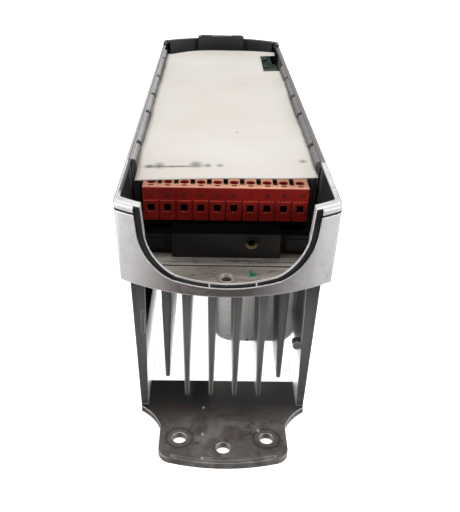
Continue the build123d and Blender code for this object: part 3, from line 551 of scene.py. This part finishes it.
def sink_metal():
    """Darker smooth casting: drawn streaks down the fins, painted shade at the roots, on the end faces and
    under the fins, bright edges from wear and painted highlight, stained feet.
    """
    p = Paint("sink_metal", metallic=0.8, bevel=0.0005)
    y, z = p.axes()[1:]
    normal_y, normal_z = p.facing()[1:]
    streaks = p.span(p.noise(42, 5, 0.6, at=p.stretched((1.0, 1.0, 0.10))), 0.34, 0.68)
    p.colour = p.mix(streaks, (0.30, 0.29, 0.285), (0.56, 0.55, 0.54))
    grazes = p.span(p.noise(260, 3, 0.6, at=p.stretched((1.0, 1.0, 0.05))), 0.56, 0.66, 0, 0.6)
    p.cover(grazes, (0.13, 0.125, 0.12))
    sink_channels(p)
    holes = sink_pocket(p)

    low = p.below(z, 0.005, 0.007)
    foot_plates(p, low, p.both(p.above(p.size(y), 0.1535, 0.0035), low))
    # painted shade on the feet under the fins
    under_fins = p.both(p.below(p.size(y), 0.1556, 0.0016), low, p.above(normal_z, 0.5, 0.4))
    p.cover(under_fins, (0.07, 0.068, 0.067))
    # painted shade on the end faces
    ends = p.both(p.above(p.size(normal_y), 0.85, 0.10), p.above(p.size(y), 0.153, 0.0015),
                  p.above(z, 0.006, 0.003))
    p.cover(ends, (0.13, 0.126, 0.122), 0.85)
    # bright edges: wear and painted highlight
    edges = p.both(p.edge_wear_and_highlight(0.0006, 0.8), p.span(p.size(y), 0.1895, 0.1870, 0.05, 1.0))
    p.cover(p.both(edges, p.invert(under_fins)), (0.85, 0.84, 0.83))
    p.bump(p.noise(900, 3, 0.6), 0.25, 0.00008)
    p.bump(p.noise(120, 4, 0.5), 0.25, 0.0004)
    p.bump(holes, -0.6, 0.0004)
    return p.finish(p.span(streaks, 0, 1, 0.42, 0.30))


# ---------------------------------------------------------------- rubber and plastics
def gasket_rubber():
    """Black rubber with a fine grain, and the two pale ribs that cross it at the bottom."""
    p = Paint("gasket_rubber")
    p.no_reflection()
    x, _, z = p.axes()
    drift = p.span(p.noise(60, 4, 0.6), 0.3, 0.7)
    p.colour = p.mix(drift, (0.012, 0.012, 0.013), (0.032, 0.031, 0.031))
    ribs = p.either(*[p.near(x, place, 0.0002, 0.0002) for place in RIB_PLACES])
    p.cover(p.both(ribs, p.span(z, 0.0800, 0.0795, 0, 0.7)), (0.60, 0.57, 0.55))
    p.bump(p.noise(700, 2, 0.5), 0.3, 0.00006)
    return p.finish(p.span(drift, 0, 1, 0.62, 0.5))


def plain_plastic(name, base, light, rough=0.45, grain=1400):
    """Moulded plastic: slight colour drift and a fine spark grain."""
    p = Paint(name)
    drift = p.span(p.noise(60, 4, 0.6), 0.3, 0.7)
    p.colour = p.mix(drift, base, light)
    p.bump(p.noise(grain, 2, 0.5), 0.3, 0.00004)
    return p.finish(p.span(drift, 0, 1, rough + 0.06, rough - 0.06))


def bay_plastic():
    """Dark matt plastic of the bay's bulkhead, with painted shade that makes its top nearly black."""
    p = Paint("bay_plastic")
    p.no_reflection()
    drift = p.span(p.noise(60, 4, 0.6), 0.3, 0.7)
    p.colour = p.mix(drift, (0.020, 0.018, 0.017), (0.036, 0.033, 0.030))
    # painted shade on the faces that look up
    p.cover(p.above(p.facing()[2], 0.3, 0.4), (0.002, 0.002, 0.002))
    p.bump(p.noise(1400, 2, 0.5), 0.3, 0.00004)
    return p.finish(p.span(drift, 0, 1, 0.62, 0.5))


def red_plastic():
    """Red terminal moulding: peach on top from dust and painted light, lighter on its edges from wear and
    painted highlight, painted shade in its holes.
    """
    p = Paint("red_plastic", bevel=0.00025)
    x, y, z = p.axes()
    drift = p.span(p.noise(90, 4, 0.6), 0.3, 0.7)
    p.colour = p.mix(drift, (0.30, 0.010, 0.010), (0.42, 0.022, 0.014))
    # lighter edges: wear and painted highlight
    p.cover(p.edge_wear_and_highlight(0.0003, 0.6), (0.72, 0.16, 0.08))
    # peach top: dust and painted light
    dust_and_top_light = p.both(p.above(p.facing()[2], 0.55, 0.40), p.span(p.noise(300, 3, 0.6), 0.25, 0.75, 0.7, 1.0),
                  p.above(z, DUST_AND_LIGHT_Z, 0.0007))
    p.cover(dust_and_top_light, (0.98, 0.56, 0.38))

    # painted shade behind the wire entries, and between the screw towers
    deep = p.both(p.above(y, ENTRY_Y, 0.0006), p.below(z, ENTRY_Z, 0.0005))
    pole_share = p.math("FRACT", p.math("DIVIDE", p.math("ADD", x, 100 * POLE_PITCH), POLE_PITCH))
    gaps = p.either(p.near(pole_share, 0.0, 0.13, 0.01), p.near(pole_share, 1.0, 0.13, 0.01))
    between = p.both(gaps, p.above(y, TOWER_Y, 0.0004), p.below(z, TOWER_Z, 0.0002))
    p.cover(p.either(deep, between), (0.030, 0.060, 0.020))
    p.bump(p.noise(1800, 2, 0.5), 0.2, 0.00003)
    return p.finish(p.span(drift, 0, 1, 0.40, 0.30))


def circuit_board():
    """Dark green solder mask over tracks and pads."""
    p = Paint("circuit_board", bevel=0)
    pattern = {"Vector": p.place, "Scale": 90.0, "Mortar Size": 0.05, "Row Height": 0.42, "Brick Width": 1.6}
    tracks = p.node("ShaderNodeTexBrick", pattern).outputs["Fac"]
    drift = p.span(p.noise(130, 3, 0.6), 0.4, 0.6)
    p.colour = p.mix(drift, (0.008, 0.026, 0.015), (0.013, 0.045, 0.023))
    p.cover(tracks, (0.025, 0.08, 0.04), 0.5)
    p.cover(p.below(p.spots(260), 0.06, 0.04), (0.62, 0.60, 0.55))
    p.bump(tracks, 0.3, 0.00004)
    return p.finish(p.span(drift, 0, 1, 0.4, 0.3))


def sheet_film():
    """Ivory insulating film: warm drift, painted shade in soft patches as of creases, and smudges where dirty
    fingers held it.
    """
    p = Paint("sheet_film", bevel=0)
    y = p.axes()[1]
    drift = p.span(p.noise(14, 4, 0.5), 0.3, 0.7)
    p.colour = p.mix(drift, (0.61, 0.57, 0.515), (0.68, 0.65, 0.605))
    ends = p.either(p.below(y, -0.118, 0.033), p.above(y, 0.105, 0.035))
    p.cover(ends, (0.55, 0.505, 0.45), 0.5)
    p.cover(p.span(p.noise(48, 5, 0.65), 0.50, 0.75, 0, 0.5), (0.61, 0.56, 0.50))
    for place, half, depth in FILM_PAINTED_SHADE:
        away = p.distance((*place, FILM_Z), (1 / half[0], 1 / half[1], 0))
        p.cover(p.span(away, 1.0, 0.1, 0, depth), (0.50, 0.46, 0.41))
    blur = p.span(p.noise(500, 3, 0.6), 0.25, 0.75, 0.9, 1.5)
    for place, half, depth in FILM_SMUDGES:
        away = p.distance((*place, FILM_Z), (0.85 / half[0], 0.85 / half[1], 0))
        p.cover(p.both(p.span(away, 1.45, 0.30, 0, depth), blur), (0.11, 0.098, 0.088))
    p.bump(p.noise(900, 3, 0.6), 0.15, 0.00005)
    p.bump(p.noise(22, 3, 0.5), 0.4, 0.0006)
    return p.finish(p.span(drift, 0, 1, 0.5, 0.4))


# ---------------------------------------------------------------- metals
def metal(name, dark, light, rough):
    """Turned, plated or rolled metal with fine scratches."""
    p = Paint(name, metallic=1.0, bevel=0.00015)
    marks = p.span(p.noise(500, 4, 0.6), 0.3, 0.7)
    p.colour = p.mix(marks, dark, light)
    p.bump(p.noise(1500, 2, 0.5), 0.2, 0.00003)
    return p.finish(p.span(marks, 0, 1, rough + 0.1, rough - 0.05))


def tarnished_brass():
    """Brass insert, darker over its upper part."""
    p = Paint("tarnished_brass", metallic=0.8, bevel=0.00015)
    marks = p.span(p.noise(500, 4, 0.6), 0.3, 0.7)
    p.colour = p.mix(marks, (0.20, 0.13, 0.07), (0.42, 0.30, 0.18))
    p.cover(p.above(p.axes()[2], INSERT_DARK_Z, 0.0020), (0.022, 0.018, 0.014))
    p.bump(p.noise(1500, 2, 0.5), 0.2, 0.00003)
    return p.finish(p.span(marks, 0, 1, 0.5, 0.35))


def wound_copper():
    """Enamelled wire wound in layers."""
    p = Paint("copper_winding", metallic=0.6, bevel=0)
    pattern = {"Vector": p.place, "Scale": 120.0, "Distortion": 0.4}
    wave = p.node("ShaderNodeTexWave", pattern, bands_direction="Z").outputs["Fac"]
    p.colour = p.mix(wave, (0.22, 0.07, 0.03), (0.62, 0.27, 0.12))
    p.bump(wave, 0.6, 0.0003)
    return p.finish(p.span(wave, 0, 1, 0.45, 0.3))


def laminated_iron():
    """Varnished laminations."""
    p = Paint("laminated_iron", metallic=0.5, bevel=0.0002)
    pattern = {"Vector": p.place, "Scale": 160.0, "Distortion": 0.3}
    wave = p.node("ShaderNodeTexWave", pattern, bands_direction="X").outputs["Fac"]
    p.colour = p.mix(wave, (0.035, 0.033, 0.035), (0.12, 0.115, 0.115))
    p.bump(wave, 0.5, 0.0002)
    return p.finish(p.span(wave, 0, 1, 0.5, 0.36))


# ---------------------------------------------------------------- materials of the pieces
MATERIALS = {
    "tray_aluminium": tray_metal(),
    "sink_aluminium": sink_metal(),
    "black_rubber": gasket_rubber(),
    "black_plastic": plain_plastic("black_plastic", (0.016, 0.016, 0.018), (0.035, 0.035, 0.037), 0.42),
    "grey_plastic": bay_plastic(),
    "red_plastic": red_plastic(),
    "green_plastic": plain_plastic("green_plastic", (0.004, 0.014, 0.006), (0.008, 0.024, 0.010), 0.5),
    "board_green": circuit_board(),
    "ivory_sheet": sheet_film(),
    "brass": metal("brass", (0.30, 0.19, 0.10), (0.50, 0.35, 0.21), 0.36),
    "zinc_steel": metal("zinc_steel", (0.42, 0.42, 0.40), (0.68, 0.67, 0.64), 0.3),
    "tinned_metal": metal("tinned_metal", (0.5, 0.5, 0.48), (0.74, 0.74, 0.71), 0.28),
    "chip_black": plain_plastic("chip_black", (0.02, 0.02, 0.021), (0.045, 0.045, 0.046), 0.5, 2200),
    "can_sleeve": plain_plastic("can_sleeve", (0.02, 0.028, 0.06), (0.04, 0.05, 0.10), 0.35),
    "copper_winding": wound_copper(),
    "core_iron": laminated_iron(),
    "white_plastic": plain_plastic("white_plastic", (0.66, 0.65, 0.61), (0.80, 0.79, 0.75)),
    "blue_plastic": plain_plastic("blue_plastic", (0.012, 0.05, 0.19), (0.03, 0.09, 0.28), 0.4),
    "pad_grey": plain_plastic("pad_grey", (0.36, 0.36, 0.38), (0.48, 0.48, 0.5), 0.7),
}
# pieces that look different from the rest of their slot
NODE_MATERIALS = {
    "earth_insert": tarnished_brass(),
    "set_screw": metal("blackened_steel", (0.035, 0.033, 0.032), (0.09, 0.085, 0.08), 0.45),
}


def paint_cad_nodes():
    """Give each CAD node its own material or its slot's."""
    for row in frame["record"]["subparts"]:
        node = nodes[row["node"]]
        node.data.materials.clear()
        node.data.materials.append(NODE_MATERIALS.get(row["node"], MATERIALS[row["material_slot"]]))


def piece(name, mesh, slot, body, material=None):
    """Link a new visible piece, give it its material and let it ride on a body."""
    made = bpy.data.objects.new(name, mesh)
    bpy.context.scene.collection.objects.link(made)
    mesh.materials.append(material or MATERIALS[slot])
    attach(made, body)
    return made


def apply_modifiers(made):
    """Bake the modifiers into the mesh."""
    depsgraph = bpy.context.evaluated_depsgraph_get()
    baked = bpy.data.meshes.new_from_object(made.evaluated_get(depsgraph))
    made.modifiers.clear()
    made.data = baked


# ---------------------------------------------------------------- insulation sheet
def film_point(x, y, low, half):
    """Where a point of the flat film lies: waves, pinches at its sides and droops at its near left corner."""
    outer = max(0.0, abs(x) / half - 0.75) / 0.25
    wave = 0.0004 * math.sin(y * 75 + x * 20) + 0.0003 * math.sin(y * 160)
    pinch = 0.0017 * math.exp(-((y - 0.055) / 0.018) ** 2) if x > 0 else 0.0
    shift = math.copysign(outer * (min(wave, 0.0002) - 0.0003 - pinch), x)
    lift = 0.0003 * math.sin(x * 95 + y * 31) + 0.0003 * math.sin(y * 58)
    edge_curl = 0.0007 * outer * (0.5 + 0.5 * math.sin(y * 70))
    droop = 0.0014 * (0.5 - 0.5 * x / half) * math.exp(-(y - low.y) / 0.02)
    return Vector((x + shift, y, low.z + 0.0006 + lift + edge_curl - droop))


def insulation_film():
    """Thin film laid over the boards: gently wavy, one window open to the right, a bowed far edge."""
    low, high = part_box("insulation_sheet")
    half = high.x
    left_columns, right_columns = 30, 8
    columns = [-half + i * (WINDOW_LEFT + half) / left_columns for i in range(left_columns + 1)]
    columns += [WINDOW_LEFT + i * (half - WINDOW_LEFT) / right_columns for i in range(1, right_columns + 1)]
    near_rows, window_rows, far_rows = 80, 16, 8

    def far_edge(x):
        share = x / half
        end = FAR_EDGE_RIGHT if share > 0 else FAR_EDGE_LEFT
        return FAR_EDGE_MIDDLE - (FAR_EDGE_MIDDLE - end) * share * share

    def along(x, row):
        near = low.y + 0.0013 * x / half + 0.0003 * math.sin(x * 120)
        if row <= near_rows:
            return near + (WINDOW_NEAR - near) * row / near_rows
        row -= near_rows
        if row <= window_rows:
            return WINDOW_NEAR + (WINDOW_FAR - WINDOW_NEAR) * row / window_rows
        return WINDOW_FAR + (far_edge(x) - WINDOW_FAR) * (row - window_rows) / far_rows

    rows = range(near_rows + window_rows + far_rows + 1)
    mesh = bpy.data.meshes.new("insulation_film")
    shell = bmesh.new()
    grid = [[shell.verts.new(film_point(x, along(x, row), low, half)) for x in columns] for row in rows]
    for row in rows[:-1]:
        for i, x in enumerate(columns[:-1]):
            in_window = x > WINDOW_LEFT - 1e-6 and near_rows <= row < near_rows + window_rows
            if not in_window:
                shell.faces.new((grid[row][i], grid[row][i + 1], grid[row + 1][i + 1], grid[row + 1][i]))
    bmesh.ops.delete(shell, geom=[v for v in shell.verts if not v.link_faces], context="VERTS")
    for face in shell.faces:
        face.smooth = True
    shell.to_mesh(mesh)
    shell.free()
    film = piece("insulation_film", mesh, "ivory_sheet", "drive_body")
    thick = film.modifiers.new("thick", "SOLIDIFY")
    thick.thickness = FILM_THICKNESS
    thick.offset = -1
    apply_modifiers(film)
    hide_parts("insulation_sheet")
    film.visible_shadow = False      # thin enough to let the light through


# ---------------------------------------------------------------- small details
DIGIT_SIZE, DIGIT_RELIEF = 3.6 * MM, 0.04 * MM
DIGIT_BEHIND_FRONT = 0.65 * MM      # the digits stand in front of the plug's face, behind its front edge
DIGIT_BELOW_TOP = 5.0 * MM


def pole_numbers():
    """Numbers 1 to 10, printed above the wire entries."""
    low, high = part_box("terminal_plug")
    ink = plain_plastic("marking_ink", (0.012, 0.010, 0.009), (0.028, 0.02, 0.016), 0.6)
    meshes = []
    for index in range(POLES):
        curve = bpy.data.curves.new(f"digit_{index + 1}", "FONT")
        curve.body = str(index + 1)
        curve.size = DIGIT_SIZE
        curve.extrude = DIGIT_RELIEF
        curve.align_x = "CENTER"
        holder = bpy.data.objects.new(curve.name, curve)
        bpy.context.scene.collection.objects.link(holder)
        holder.rotation_euler = (math.pi / 2, 0, 0)
        x = (index - (POLES - 1) / 2) * POLE_PITCH
        holder.location = (x, low.y + DIGIT_BEHIND_FRONT, high.z - DIGIT_BELOW_TOP)
        bpy.context.view_layer.update()
        baked = bpy.data.meshes.new_from_object(holder.evaluated_get(bpy.context.evaluated_depsgraph_get()))
        baked.transform(holder.matrix_world)
        meshes.append(baked)
        bpy.data.objects.remove(holder)
    joined = bmesh.new()
    for baked in meshes:
        joined.from_mesh(baked)
        bpy.data.meshes.remove(baked)
    mesh = bpy.data.meshes.new("pole_numbers")
    joined.to_mesh(mesh)
    joined.free()
    piece("pole_numbers", mesh, "chip_black", "terminal_plug", ink)


paint_cad_nodes()
insulation_film()
pole_numbers()
